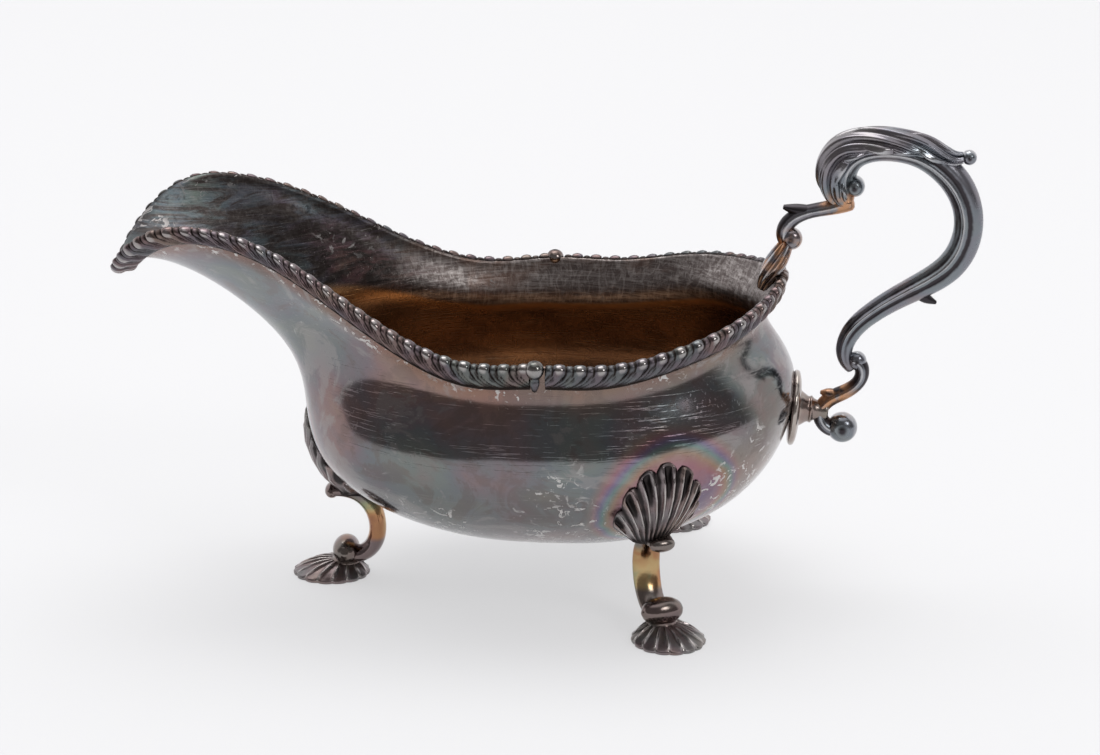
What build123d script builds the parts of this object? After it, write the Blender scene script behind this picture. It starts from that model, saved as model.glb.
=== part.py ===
"""Silver sauce boat on three shell feet, with a leaf-capped double-scroll handle.

Frame: millimetres, +Z up, +X from the lip towards the handle, origin on the
table below the middle of the whole object. The boat is symmetric about y = 0.
"""
import os
from math import cos, radians, sin

from build123d import *

# ---------------------------------------------------------------- driving sizes
WALL = 1.3                      # thickness of the raised bowl
BELLY_CENTRE = 2.0              # x of the middle of the belly
BELLY_BACK = 62.4               # belly reach towards the handle
BELLY_FRONT = 62.4              # belly reach towards the lip
BELLY_HALF = 50.5               # belly half width
BELLY_Z_BACK, BELLY_Z_SIDE, BELLY_Z_FRONT = 54.5, 46.0, 46.0
BELLY_SQUARE = 0.92             # below 1 makes the plan a little fuller than an ellipse
BOTTOM_Z = 14.4                 # underside of the bowl
BACK_TUCK = 0.77                # below 1 makes the back of the belly rounder below
STOCK_TOP = 120.0               # tool solids run up to here before the rim is cut
STOCK_STEPS = 4                 # rings that carry the wall on from the rim to that height

BORDER_DROP = 5.6               # gadroon band, measured down the wall from the rim
BORDER_OUT = 2.5                # how far the band stands out from the wall
RIM_BEAD = 1.5                  # radius of the beaded top edge
CENTRE_BEAD = 2.5               # radius of the large bead at mid side
CENTRE_STATION = 5              # station of the bowl outline where that bead sits

PAD_LENGTH, PAD_WIDTH, PAD_HEIGHT = 20.0, 18.5, 3.8
FOOT_BALL = 3.5                 # radius of the scroll ball that stands on the pad
FRONT_PAD_X = -55.3             # pad centre of the front foot
BACK_PAD = (33.5, 43.7)         # pad centre of the back feet, x and half spacing
BACK_TURN = 64.5                # degrees between the handle's direction and a back leg

# Half outlines of the bowl's upper rings, from the handle end to the lip: x, half width, z
WAIST = [
    (57.2, 0, 70.5), (53.8, 14.6, 69.4), (46.2, 28.6, 67.2), (33.8, 39.6, 64.2),
    (17.2, 45.0, 61.5), (0.5, 46.2, 61.0), (-16.4, 43.8, 61.2), (-32.0, 37.6, 64.0),
    (-45.6, 29.6, 68.2), (-56.6, 21.4, 71.0), (-64.0, 14.2, 70.4), (-67.4, 8.4, 68.8),
    (-68.9, 4.0, 67.8), (-69.3, 0, 67.4),
]
FLARE = [
    (58.0, 0, 76.0), (54.6, 14.8, 74.9), (46.8, 29.0, 72.9), (34.3, 40.0, 69.9),
    (17.5, 45.4, 66.7), (0.5, 46.6, 66.4), (-17.0, 44.0, 66.4), (-34.4, 38.2, 71.2),
    (-50.2, 31.9, 78.8), (-64.5, 25.6, 85.2), (-77.0, 20.0, 87.6), (-85.8, 13.6, 86.4),
    (-90.0, 6.8, 84.2), (-91.2, 0, 83.4),
]
RIM = [
    (60.6, 0, 82.6), (57.2, 15.2, 80.9), (49.0, 30.3, 78.2), (36.0, 42.0, 75.2),
    (18.5, 47.4, 72.0), (0.5, 48.4, 72.2), (-18.0, 45.4, 71.9), (-37.0, 39.4, 78.8),
    (-54.5, 33.4, 89.0), (-72.0, 28.6, 97.2), (-90.0, 26.0, 99.4), (-101.6, 20.0, 93.4),
    (-107.2, 10.3, 85.8), (-108.6, 0, 82.3),
]
BELLY_TURNS = (0, 17, 34, 52, 71, 90, 109, 126, 141, 153, 163, 170.5, 176, 180)
BELLY_RISES = (8, 22, 38, 54, 72, 90)       # degrees up from the bottom to the widest ring
RIM_ROW = len(BELLY_RISES) + 2              # place of RIM among the rings

# Handle parts lie in the plane y = 0. Each row: x, z, thickness in that plane, width across
MAIN_SCROLL = [
    (76.4, 102.4, 4.6, 5.4), (74.6, 105.4, 7.0, 7.0), (74.5, 109.9, 8.0, 7.8),
    (76.8, 113.7, 7.4, 7.6), (81.2, 115.8, 6.6, 7.2), (87.8, 116.3, 6.6, 7.0),
    (94.4, 115.0, 7.0, 7.0), (100.1, 111.5, 7.2, 7.0), (104.6, 106.2, 7.2, 7.0),
    (107.0, 99.4, 7.0, 7.0), (106.4, 91.8, 7.0, 6.8), (102.8, 85.5, 6.9, 6.6),
    (96.9, 81.1, 6.4, 6.4), (89.8, 77.1, 5.6, 6.0), (83.1, 72.6, 5.0, 5.6),
    (78.4, 67.7, 4.6, 5.0), (76.7, 62.6, 4.0, 4.2), (78.4, 58.4, 2.9, 3.4),
]
LEAF_CAP = [
    (73.9, 104.2, 6.2, 7.6), (72.3, 109.6, 6.4, 9.4), (74.9, 115.5, 6.2, 10.4),
    (80.6, 118.2, 5.8, 10.4), (88.6, 118.4, 5.2, 9.8), (96.0, 116.9, 4.8, 8.6),
    (102.0, 114.4, 3.6, 5.6), (105.4, 113.8, 2.2, 3.0),
]
BUD = (106.7, 114.0, 1.9)
BACK_SPUR = [(94.6, 78.9, 3.6, 3.8), (97.2, 77.0, 2.6, 2.8), (99.4, 76.0, 2.0, 2.2)]
UPPER_BRACKET = [
    (76.6, 102.2, 5.2, 5.2), (74.4, 101.2, 4.4, 4.6), (71.6, 100.4, 3.8, 4.2),
    (68.2, 99.7, 3.6, 4.0), (65.0, 98.7, 3.8, 4.0), (62.0, 96.6, 4.0, 4.0),
    (60.7, 93.9, 3.8, 3.8), (61.2, 91.4, 3.2, 3.4),
]
UPPER_TIP = [(66.6, 99.6, 3.0, 3.8), (63.6, 99.9, 2.9, 3.6), (60.6, 100.5, 2.6, 3.4)]
UPPER_BALL = (62.6, 92.3, 2.9)
RIM_LEAF = [
    (61.4, 90.8, 3.2, 4.4), (60.1, 88.1, 4.6, 6.4), (58.5, 85.2, 5.0, 8.8),
    (56.8, 82.2, 4.2, 8.0), (55.6, 79.4, 2.2, 4.6),
]
LOWER_BRACKET = [
    (79.0, 60.4, 3.4, 4.2), (80.9, 59.0, 3.8, 4.4), (81.2, 56.1, 3.6, 4.2),
    (79.4, 53.4, 3.6, 4.0), (76.4, 51.5, 3.9, 4.0), (73.0, 49.6, 3.9, 4.0),
    (70.9, 46.4, 3.8, 4.0), (72.0, 43.2, 4.0, 4.2), (74.8, 41.8, 4.0, 4.4),
]
LOWER_TIP = [(75.2, 51.2, 2.4, 3.4), (72.6, 51.4, 2.4, 3.4), (70.9, 51.6, 1.8, 2.8)]
LOWER_BALL = (76.6, 42.3, 3.9)
CURL = (78.2, 106.2, 2.7, 3.6)      # rolled end of the main scroll, with its half width
SOCKET = (63.7, 47.4)           # middle of the socket disc on the bowl
SOCKET_TILT = 5.0               # degrees the disc leans with the wall of the bowl
DISC_RADIUS, DISC_THICK = 9.6, 2.2
NECK_REACH = 71.0               # x where the conical neck meets the lower bracket
NECK_BIG, NECK_SMALL = 5.2, 2.4

# One leg, in its own upright plane: reach from the pad centre towards the outside, z, sizes
LEG = [
    (-0.2, 22.8, 3.0, 6.2), (-3.6, 23.2, 3.8, 7.4), (-7.4, 22.1, 4.2, 7.4),
    (-10.3, 19.3, 4.3, 7.4), (-11.8, 15.6, 4.2, 7.4), (-12.0, 11.6, 4.2, 7.3),
    (-10.6, 7.8, 4.2, 7.1), (-7.6, 5.6, 4.0, 7.0), (-4.6, 6.0, 3.6, 7.0),
]
LEG_KNOB = (-0.5, 22.8, 1.9, 3.4)           # reach, z, radius and half width of the knee knob
LEG_BALL = (-3.9, 6.7, FOOT_BALL, 5.6)      # the same for the scroll at the foot
# The back legs lean in and stand a little taller: change of reach and z at the knee
BACK_LEAN = (-3.6, 1.4)
LEAN_FROM, LEAN_TO = 6.0, 22.8             # heights between which the lean grows
# Knee shell, level by level: z, reach of its outer face, half width, half depth
KNEE_LEVELS = [
    (23.6, -0.6, 5.2, 7.4), (28.0, 2.4, 8.8, 8.0), (32.5, 4.6, 10.6, 7.6), (37.0, 6.2, 10.7, 7.0),
    (41.0, 6.6, 8.8, 5.6), (44.0, 5.8, 5.4, 4.0), (45.8, 4.6, 2.2, 2.4),
]


# ---------------------------------------------------------------- helpers
def closed_curve(points):
    """A smooth closed wire; equal spacing keeps neighbouring rings in step."""
    steps = [float(i) for i in range(len(points) + 1)]
    return Wire([Edge.make_spline(points, periodic=True, parameters=steps)])


def mirrored_ring(half):
    """A full ring from its half outline, handle end first."""
    return half + [(x, -y, z) for x, y, z in reversed(half[1:-1])]


def limb(rows):
    """A bar of oval section along a smooth path in the plane y = 0."""
    path = Edge.make_spline([(x, 0, z) for x, z, _, _ in rows])
    rings = []
    for x, z, thick, width in rows:
        along = path.tangent_at(path.param_at_point(Vector(x, 0, z)))
        plane = Plane(origin=(x, 0, z), x_dir=(0, 1, 0), z_dir=along)
        rings.append(Wire.make_ellipse(width / 2, thick / 2, plane))
    return Solid.make_loft(rings)


def ball(x, z, radius, width=None):
    """A ball in the plane y = 0, or a wider oval knob where a width is given."""
    solid = Solid.make_sphere(radius, angle1=-90, angle2=90)
    if width is not None:
        solid = scale(solid, by=(1, width / radius, 1))
    return Pos(x, 0, z) * solid


def one_solid(shape):
    """The largest solid of a cut or joined shape."""
    return max(shape.solids(), key=lambda solid: solid.volume)


# ---------------------------------------------------------------- bowl
def belly_point(turn):
    """The widest ring of the bowl, by the angle about the belly's middle."""
    c = cos(radians(turn))
    s = sin(radians(turn))
    reach = BELLY_BACK if c > 0 else BELLY_FRONT
    x = reach * abs(c) ** BELLY_SQUARE * (1 if c > 0 else -1)
    z_end = BELLY_Z_BACK if c > 0 else BELLY_Z_FRONT
    z = BELLY_Z_SIDE + (z_end - BELLY_Z_SIDE) * c * c
    y = 0 if turn in (0, 180) else BELLY_HALF * abs(s) ** BELLY_SQUARE
    return x, y, z


def bowl_rings():
    """Half outlines of the outer wall, from the bottom to above the rim."""
    rings = []
    for rise in BELLY_RISES:
        ring = []
        for turn in BELLY_TURNS:
            x, y, z = belly_point(turn)
            tuck = 1 - (1 - BACK_TUCK) * max(cos(radians(turn)), 0)
            out = sin(radians(rise)) ** tuck
            height = z - (z - BOTTOM_Z) * cos(radians(rise))
            if rise == BELLY_RISES[0]:
                height = BOTTOM_Z
            ring.append((BELLY_CENTRE + x * out, y * out, height))
        rings.append(ring)
    rings += [WAIST, FLARE, RIM]
    over = [tuple(1.5 * r - 0.5 * f for r, f in zip(rim, flare)) for rim, flare in zip(RIM, FLARE)]
    for step in range(STOCK_STEPS + 1):
        t = step / STOCK_STEPS
        widen = 1 + 0.04 * t
        rings.append([(widen * x, widen * y, z + t * (STOCK_TOP - z)) for x, y, z in over])
    return rings


def wall_normal(rings, i, j):
    """Outward direction of the wall at ring i, station j."""
    last = len(rings[0]) - 1
    up = Vector(*rings[min(i + 1, len(rings) - 1)][j]) - Vector(*rings[max(i - 1, 0)][j])
    if j == 0 or j == last:
        along = Vector(0, 1 if j == 0 else -1, 0)
    else:
        along = Vector(*rings[i][j + 1]) - Vector(*rings[i][j - 1])
    return along.cross(up).normalized()


def hull(grow):
    """The bowl as a solid block up to above the rim, moved out by grow all over."""
    rings = bowl_rings()
    wires = []
    for i, ring in enumerate(rings):
        moved = []
        for j, point in enumerate(ring):
            place = Vector(*point) + wall_normal(rings, i, j) * grow
            if i == 0:
                place = Vector(place.X, place.Y, BOTTOM_Z - grow)
            if i == len(rings) - 1:
                place = Vector(place.X, place.Y, STOCK_TOP - 2 * grow)
            moved.append((place.X, place.Y, place.Z))
        wires.append(closed_curve(mirrored_ring(moved)))
    return Solid.make_loft(wires)


def above_rim():
    """Everything above and beyond the rim line, as one block across the boat."""
    line = [(x, 0, z) for x, _, z in RIM]
    back = line[0]
    lip = line[-1]
    edges = [
        Edge.make_spline(line),
        Edge.make_line(lip, (lip[0], 0, 40)),
        Edge.make_line((lip[0], 0, 40), (-170, 0, 40)),
        Edge.make_line((-170, 0, 40), (-170, 0, 150)),
        Edge.make_line((-170, 0, 150), (90, 0, 150)),
        Edge.make_line((90, 0, 150), (90, 0, back[2])),
        Edge.make_line((90, 0, back[2]), back),
    ]
    return Solid.extrude(Face(Wire(edges)), Vector(0, 200, 0)).moved(Pos(0, -100, 0))


# ---------------------------------------------------------------- gadroon border
def border_wire(rings, j):
    """Section of the border across the rim at one station."""
    out = wall_normal(rings, RIM_ROW, j)
    up = (Vector(*rings[RIM_ROW][j]) - Vector(*rings[RIM_ROW - 1][j])).normalized()
    outline = [
        (-0.9, -BORDER_DROP), (0.5, -BORDER_DROP), (2.2, -0.75 * BORDER_DROP),
        (BORDER_OUT, -0.35 * BORDER_DROP), (1.9, 0.5), (0.9, RIM_BEAD), (-0.9, RIM_BEAD),
        (-1.6, -0.3 * BORDER_DROP),
    ]
    corner = Vector(*rings[RIM_ROW][j])
    points = [corner + out * a + up * b for a, b in outline]
    return closed_curve([(p.X, p.Y, p.Z) for p in points])


def half_border():
    """Border from the handle end round the far side (y > 0) to the lip."""
    rings = bowl_rings()
    return Solid.make_loft([border_wire(rings, j) for j in range(len(RIM))])


def half_space(x, towards):
    """A large block on one side of the upright plane at x."""
    return Pos(x + towards * 100, 0, 80) * Solid.make_box(200, 200, 200, Plane((-100, -100, -100)))


# ---------------------------------------------------------------- feet
def place_foot(shape, pad_x, pad_y, turn):
    """Turn a foot made towards +X to its direction and stand it at its pad centre."""
    return Pos(pad_x, pad_y, 0) * Rot(0, 0, turn) * shape


def leaned(rows, lean):
    """Rows of (reach, z, ...) with the lean worked in, from the foot up to the knee."""
    moved = []
    for reach, z, *sizes in rows:
        share = min(max((z - LEAN_FROM) / (LEAN_TO - LEAN_FROM), 0), 1)
        moved.append((reach + lean[0] * share, z + lean[1] * share, *sizes))
    return moved


def foot_leg(lean):
    """Scroll leg with its knee knob and its ball, as one casting."""
    knob = leaned([LEG_KNOB], lean)[0]
    return one_solid(limb(leaned(LEG, lean)) + ball(*LEG_BALL) + ball(*knob))


def foot_pad():
    """Domed scallop that stands on the table; its crown sits below the scroll ball."""
    crown = LEG_BALL[0]
    levels = [(0.0, 1.0, 0.0), (0.9, 0.98, 0.02), (2.3, 0.74, 0.45), (PAD_HEIGHT, 0.40, 0.95)]
    rings = []
    for z, size, lean in levels:
        plane = Plane(origin=(crown * lean, 0, z), x_dir=(1, 0, 0), z_dir=(0, 0, 1))
        rings.append(Wire.make_ellipse(size * PAD_LENGTH / 2, size * PAD_WIDTH / 2, plane))
    return Solid.make_loft(rings)


def knee_block(lean):
    """The fan-shaped knee shell as a domed block, run into the bowl behind it."""
    rings = []
    for z, outside, half_width, half_depth in KNEE_LEVELS:
        middle = outside - half_depth + lean[0]
        plane = Plane(origin=(middle, 0, z + lean[1]), x_dir=(1, 0, 0), z_dir=(0, 0, 1))
        rings.append(Wire.make_ellipse(half_depth, half_width, plane))
    return Solid.make_loft(rings)


# ---------------------------------------------------------------- build
def build():
    """Every piece by name."""
    parts = {}
    outer = hull(0)
    inner = hull(-WALL)
    parts["bowl"] = one_solid(outer - inner - above_rim())

    # gadroon border: four strips that meet at the lip, the back and the centre beads
    x, y, z = RIM[CENTRE_STATION]
    far_border = half_border()
    far_bead = Pos(x, y + 0.6, z - 0.2) * Solid.make_sphere(CENTRE_BEAD, angle1=-90, angle2=90)
    sides = {
        "far": (far_border, far_bead),
        "near": (far_border.mirror(Plane.XZ), far_bead.mirror(Plane.XZ)),
    }
    for side, (border, bead) in sides.items():
        border = border - outer - bead
        parts["border_back_" + side] = one_solid(border & half_space(x, 1))
        parts["border_front_" + side] = one_solid(border & half_space(x, -1))
        parts["centre_bead_" + side] = one_solid(bead - outer)

    # handle, from the rim down to the socket
    scroll = limb(MAIN_SCROLL) + limb(BACK_SPUR) + ball(*CURL)
    scroll = one_solid(scroll)
    cap = one_solid(limb(LEAF_CAP) + ball(*BUD) - scroll)
    upper = limb(UPPER_BRACKET) + limb(UPPER_TIP) + ball(*UPPER_BALL)
    upper = one_solid(upper - scroll - cap)
    leaf = one_solid(limb(RIM_LEAF) - upper)
    lower = limb(LOWER_BRACKET) + limb(LOWER_TIP) + ball(*LOWER_BALL)
    lower = one_solid(lower - scroll)
    seat = Pos(SOCKET[0], 0, SOCKET[1]) * Rot(0, 90 + SOCKET_TILT, 0)
    disc_stock = seat * Pos(0, 0, -3) * Solid.make_cylinder(DISC_RADIUS, 12)
    disc = one_solid((disc_stock & hull(DISC_THICK)) - outer)
    neck_length = NECK_REACH - SOCKET[0] + 2
    neck_cone = Solid.make_cone(NECK_BIG + 0.6, NECK_SMALL, neck_length)
    neck = seat * Pos(0, 0, -2) * neck_cone
    neck = one_solid(neck - outer - disc - lower)
    parts["handle_scroll"] = scroll
    parts["handle_leaf_cap"] = cap
    parts["handle_upper_bracket"] = upper
    parts["handle_rim_leaf"] = leaf
    parts["handle_lower_bracket"] = lower
    parts["handle_neck"] = neck
    parts["handle_socket_disc"] = disc

    # the rim leaf clasps the back of the rim: bowl and border are notched to it
    for name in ("border_back_far", "border_back_near"):
        parts[name] = one_solid(parts[name] - leaf)
    parts["handle_rim_leaf"] = one_solid(leaf - parts["bowl"])

    # three feet
    places = {
        "front": (FRONT_PAD_X, 0, 180, (0, 0)),
        "back_near": (BACK_PAD[0], -BACK_PAD[1], -BACK_TURN, BACK_LEAN),
        "back_far": (BACK_PAD[0], BACK_PAD[1], BACK_TURN, BACK_LEAN),
    }
    for name, (pad_x, pad_y, turn, lean) in places.items():
        leg = place_foot(foot_leg(lean), pad_x, pad_y, turn)
        leg = one_solid(leg - outer)
        knee = place_foot(knee_block(lean), pad_x, pad_y, turn)
        knee = one_solid(knee - outer - leg)
        pad = place_foot(foot_pad(), pad_x, pad_y, turn)
        parts["knee_shell_" + name] = knee
        parts["leg_" + name] = leg
        parts["pad_" + name] = one_solid(pad - leg)
    return parts


os.makedirs("parts", exist_ok=True)
for part_name, part_solid in build().items():
    export_step(part_solid, f"parts/{part_name}.step")
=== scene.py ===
"""A tarnished silver sauce boat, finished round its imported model. Metres, +Z up, +X to the handle."""
import math

import bmesh
import bpy
import numpy as np
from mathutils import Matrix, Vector
from mathutils.bvhtree import BVHTree


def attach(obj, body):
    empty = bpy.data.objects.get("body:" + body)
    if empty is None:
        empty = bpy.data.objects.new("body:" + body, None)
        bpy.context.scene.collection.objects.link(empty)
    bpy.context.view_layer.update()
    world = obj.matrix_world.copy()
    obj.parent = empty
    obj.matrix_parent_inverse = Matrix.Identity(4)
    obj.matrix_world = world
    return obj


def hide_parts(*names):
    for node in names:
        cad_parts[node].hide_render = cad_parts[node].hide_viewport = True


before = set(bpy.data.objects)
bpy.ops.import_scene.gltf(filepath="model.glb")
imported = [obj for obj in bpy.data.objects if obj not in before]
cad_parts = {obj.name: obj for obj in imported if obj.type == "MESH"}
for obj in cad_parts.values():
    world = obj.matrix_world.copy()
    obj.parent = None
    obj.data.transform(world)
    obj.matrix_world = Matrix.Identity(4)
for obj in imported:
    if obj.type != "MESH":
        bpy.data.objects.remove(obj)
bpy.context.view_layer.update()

MM = 0.001

# ---------------------------------------------------------------- sizes, in millimetres
WALL = 1.3
BELLY_CENTRE = 2.0
BELLY_REACH = 62.4
BELLY_HALF = 50.5
BELLY_Z_BACK, BELLY_Z_SIDE = 54.5, 46.0
BELLY_SQUARE = 0.92
BOTTOM_Z = 14.4
BACK_TUCK = 0.77
BELLY_TURNS = (0, 17, 34, 52, 71, 90, 109, 126, 141, 153, 163, 170.5, 176, 180)
BELLY_RISES = (8, 22, 38, 54, 72, 90)

# Half outlines of the bowl's upper rings, handle end first: x, half width, z
WAIST = [
    (57.2, 0, 70.5), (53.8, 14.6, 69.4), (46.2, 28.6, 67.2), (33.8, 39.6, 64.2),
    (17.2, 45.0, 61.5), (0.5, 46.2, 61.0), (-16.4, 43.8, 61.2), (-32.0, 37.6, 64.0),
    (-45.6, 29.6, 68.2), (-56.6, 21.4, 71.0), (-64.0, 14.2, 70.4), (-67.4, 8.4, 68.8),
    (-68.9, 4.0, 67.8), (-69.3, 0, 67.4),
]
FLARE = [
    (58.0, 0, 76.0), (54.6, 14.8, 74.9), (46.8, 29.0, 72.9), (34.3, 40.0, 69.9),
    (17.5, 45.4, 66.7), (0.5, 46.6, 66.4), (-17.0, 44.0, 66.4), (-34.4, 38.2, 71.2),
    (-50.2, 31.9, 78.8), (-64.5, 25.6, 85.2), (-77.0, 20.0, 87.6), (-85.8, 13.6, 86.4),
    (-90.0, 6.8, 84.2), (-91.2, 0, 83.4),
]
RIM = [
    (60.6, 0, 82.6), (57.2, 15.2, 80.9), (49.0, 30.3, 78.2), (36.0, 42.0, 75.2),
    (18.5, 47.4, 72.0), (0.5, 48.4, 72.2), (-18.0, 45.4, 71.9), (-37.0, 39.4, 78.8),
    (-54.5, 33.4, 89.0), (-72.0, 28.6, 97.2), (-90.0, 26.0, 99.4), (-101.6, 20.0, 93.4),
    (-107.2, 10.3, 85.8), (-108.6, 0, 82.3),
]
CENTRE_STATION = 5

# Border section: out from the wall, up from the rim, height of beads, height of reeds, slant
BORDER_SECTION = [
    (-1.00, -1.60, 0.00, 0.00, 0.0), (-1.12, -0.50, 0.05, 0.00, 0.0), (-1.05, 0.15, 0.30, 0.00, 0.0),
    (-0.45, 0.55, 0.72, 0.00, 0.0), (0.35, 0.42, 0.95, 0.00, 0.0), (0.95, -0.20, 1.10, 0.00, 0.0),
    (1.05, -1.00, 0.80, 0.10, 0.1), (0.95, -1.75, 0.20, 0.45, 0.5), (1.15, -2.50, 0.00, 0.70, 1.3),
    (1.20, -3.30, 0.00, 0.72, 2.3), (0.95, -4.10, 0.00, 0.55, 3.4), (0.55, -4.75, 0.00, 0.20, 4.4),
    (0.28, -5.05, 0.00, 0.00, 4.9), (0.62, -5.30, 0.00, 0.00, 4.9), (0.60, -5.65, 0.00, 0.00, 4.9),
    (0.05, -5.90, 0.00, 0.00, 4.9), (-0.70, -5.20, 0.00, 0.00, 0.0), (-0.80, -3.40, 0.00, 0.00, 0.0),
]
LOBE_PITCH = 4.9

# Handle bars in the plane y = 0: x, z, thickness in that plane, width across
MAIN_SCROLL = [
    (76.4, 102.4, 4.6, 5.4), (74.6, 105.4, 7.0, 7.0), (74.5, 109.9, 8.0, 7.8),
    (76.8, 113.7, 7.4, 7.6), (81.2, 115.8, 6.6, 7.2), (87.8, 116.3, 6.6, 7.0),
    (94.4, 115.0, 7.0, 7.0), (100.1, 111.5, 7.2, 7.0), (104.6, 106.2, 7.2, 7.0),
    (107.0, 99.4, 7.0, 7.0), (106.4, 91.8, 7.0, 6.8), (102.8, 85.5, 6.9, 6.6),
    (96.9, 81.1, 6.4, 6.4), (89.8, 77.1, 5.6, 6.0), (83.1, 72.6, 5.0, 5.6),
    (78.4, 67.7, 4.6, 5.0), (76.7, 62.6, 4.0, 4.2), (78.4, 58.4, 2.9, 3.4),
]
LEAF_CAP = [
    (76.2, 102.0, 4.6, 5.4), (74.1, 104.6, 7.2, 7.8), (73.0, 110.0, 8.8, 9.6),
    (75.2, 115.1, 8.4, 10.4), (80.9, 117.5, 7.6, 10.4), (88.6, 117.6, 6.8, 9.8),
    (95.6, 116.3, 6.2, 8.8), (101.6, 113.9, 4.4, 6.4), (105.0, 113.9, 2.8, 3.4),
]
BUD = (106.7, 114.0, 1.9)
BACK_SPUR = [(94.6, 78.9, 3.6, 3.8), (97.2, 77.0, 2.6, 2.8), (99.4, 76.0, 1.0, 1.2)]
UPPER_BRACKET = [
    (76.6, 102.2, 5.2, 5.2), (74.4, 101.2, 4.4, 4.6), (71.6, 100.4, 3.8, 4.2),
    (68.2, 99.7, 3.6, 4.0), (65.0, 98.7, 3.8, 4.0), (62.0, 96.6, 4.0, 4.0),
    (60.7, 93.9, 3.8, 3.8), (61.2, 91.4, 3.2, 3.4),
]
UPPER_TIP = [(66.6, 99.6, 3.0, 3.8), (63.6, 99.9, 2.9, 3.6), (60.6, 100.5, 1.2, 1.8)]
UPPER_BALL = (62.6, 92.3, 2.9)
RIM_LEAF = [
    (61.4, 90.8, 3.2, 4.4), (60.1, 88.1, 4.6, 6.4), (58.5, 85.2, 5.0, 8.8),
    (56.8, 82.2, 4.2, 8.0), (55.6, 79.4, 2.2, 4.6),
]
LOWER_BRACKET = [
    (79.0, 60.4, 3.4, 4.2), (80.9, 59.0, 3.8, 4.4), (81.2, 56.1, 3.6, 4.2),
    (79.4, 53.4, 3.6, 4.0), (76.4, 51.5, 3.9, 4.0), (73.0, 49.6, 3.9, 4.0),
    (70.9, 46.4, 3.8, 4.0), (72.0, 43.2, 4.0, 4.2), (74.8, 41.8, 4.0, 4.4),
]
LOWER_TIP = [(75.2, 51.2, 2.4, 3.4), (72.6, 51.4, 2.4, 3.4), (70.9, 51.6, 0.9, 1.4)]
LOWER_BALL = (76.6, 42.3, 3.9)
CURL = (78.2, 106.2, 2.7, 3.6)  # rolled inner end of the main scroll: x, z, radius, half width
SOCKET = (64.1, 47.4)
SOCKET_TILT = 5.0
DISC_RADIUS = 9.6

# Feet, made towards +X from the middle of the pad
PLACES = {"front": (-55.3, 0.0, 180.0), "back_near": (33.5, -43.7, -64.5), "back_far": (33.5, 43.7, 64.5)}
SHELL_ASIDE = {"front": 0.0, "back_near": -1.2, "back_far": 1.2}
LEG = [
    (-0.2, 22.8, 3.0, 6.2), (-3.6, 23.2, 3.8, 7.4), (-7.4, 22.1, 4.2, 7.4),
    (-10.3, 19.3, 4.3, 7.4), (-11.8, 15.6, 4.2, 7.4), (-12.0, 11.6, 4.2, 7.3),
    (-10.6, 7.8, 4.2, 7.1), (-7.6, 5.6, 4.0, 7.0), (-4.6, 6.0, 3.6, 7.0),
]
LEG_KNOB = (-0.5, 22.8, 1.9, 3.4)
LEG_BALL = (-3.9, 6.7, 3.5, 5.6)
BACK_LEAN = (-3.6, 1.4)  # how far the back knees stand in, and how much taller
LEAN_FROM, LEAN_TO = 6.0, 22.8  # heights between which that lean comes in
KNEE_LEVELS = [
    (23.6, -0.6, 5.2, 7.4), (28.0, 2.4, 8.8, 8.0), (32.5, 4.6, 10.6, 7.6), (37.0, 6.2, 10.7, 7.0),
    (41.0, 6.6, 8.8, 5.6), (44.0, 5.8, 5.4, 4.0), (45.8, 4.6, 2.2, 2.4),
]
PAD_LENGTH, PAD_WIDTH, PAD_HEIGHT = 20.0, 18.5, 3.8
SHELL_ROOT, SHELL_TOP = 22.8, 46.2
SHELL_ROOT_HALF, SHELL_SPREAD = 4.8, 80.0  # half width at the root, half angle of the fan in degrees
RAY_START = 40.0  # how far out the search for the bowl's wall begins


# ---------------------------------------------------------------- curves and skins
def curve_through(points, closed=False, even=False):
    """A smooth curve through points. Returns its knots and a function of the parameter."""
    p = np.asarray(points, float)
    if closed:
        p = np.concatenate([p, p[:1]])
    flat = p.reshape(len(p), -1)
    step = np.linalg.norm(np.diff(flat, axis=0), axis=1)
    if even:
        step = np.ones(len(p) - 1)
    knots = np.concatenate([[0.0], np.cumsum(step)])
    n = len(p)
    left = np.zeros((n, n))
    right = np.zeros_like(flat)
    slope = np.diff(flat, axis=0) / step[:, None]
    for i in range(1, n - 1):
        left[i, i - 1:i + 2] = step[i - 1], 2 * (step[i - 1] + step[i]), step[i]
        right[i] = 6 * (slope[i] - slope[i - 1])
    if closed:
        left[0, [0, 1]] = 2 * (step[-1] + step[0]), step[0]
        left[0, n - 2] = step[-1]
        right[0] = 6 * (slope[0] - slope[-1])
        left[-1, [0, -1]] = 1, -1
    elif n > 3:
        left[0, :3] = step[1], -(step[0] + step[1]), step[0]
        left[-1, -3:] = step[-1], -(step[-2] + step[-1]), step[-2]
    else:
        left[0, 0] = left[-1, -1] = 1
    bend = np.linalg.solve(left, right)

    def at(t):
        t = np.atleast_1d(np.asarray(t, float))
        i = np.clip(np.searchsorted(knots, t, side="right") - 1, 0, n - 2)
        h = step[i][:, None]
        b = (t - knots[i])[:, None] / h
        a = 1 - b
        value = a * flat[i] + b * flat[i + 1]
        value = value + ((a ** 3 - a) * bend[i] + (b ** 3 - b) * bend[i + 1]) * h * h / 6
        return value.reshape((len(t),) + p.shape[1:])

    return knots, at


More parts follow.
